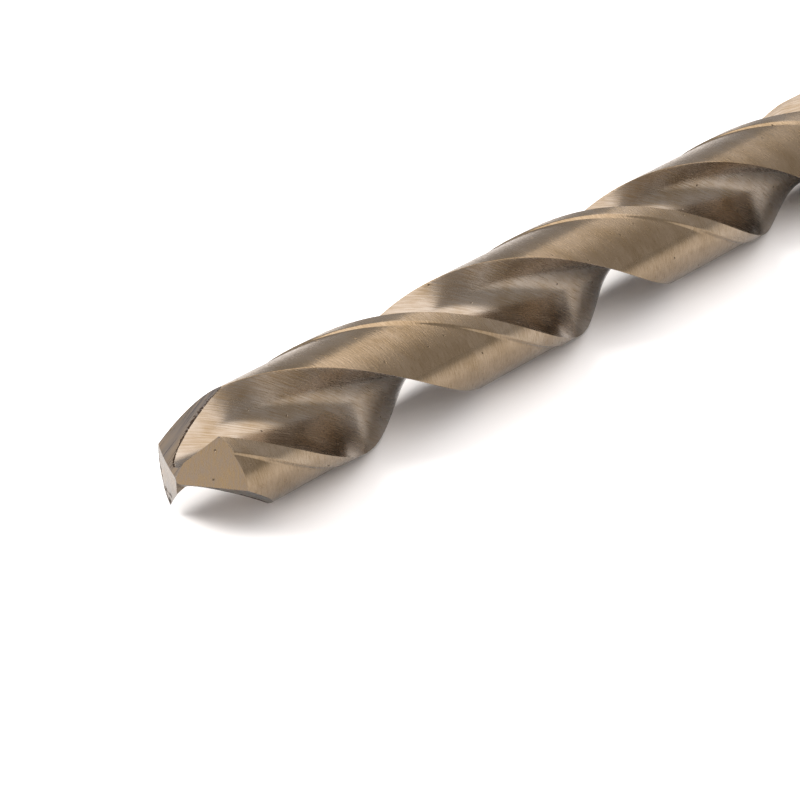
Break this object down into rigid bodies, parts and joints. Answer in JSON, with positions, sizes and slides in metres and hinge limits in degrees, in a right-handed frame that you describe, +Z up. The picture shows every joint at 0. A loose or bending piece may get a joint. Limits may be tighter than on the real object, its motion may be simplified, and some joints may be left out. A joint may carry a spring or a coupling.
{
  "type": "twist drill bit",
  "caption": "Twist drill bit for metal with two helical flutes, narrow margins, a split point and a plain round shank.",
  "frame": {"origin": "on the floor under the middle of the drill's length, below its axis", "axes": "+X along the drill from the point to the end of the shank, +Z up, the drill lying on its margins"},
  "size_m": [0.133, 0.01, 0.01],
  "materials": {
    "tool_steel": "ground, straw-gold oxide"
  },
  "bodies": {
    "root": {"drill_bit": "tool_steel"}
  },
  "joints": []
}
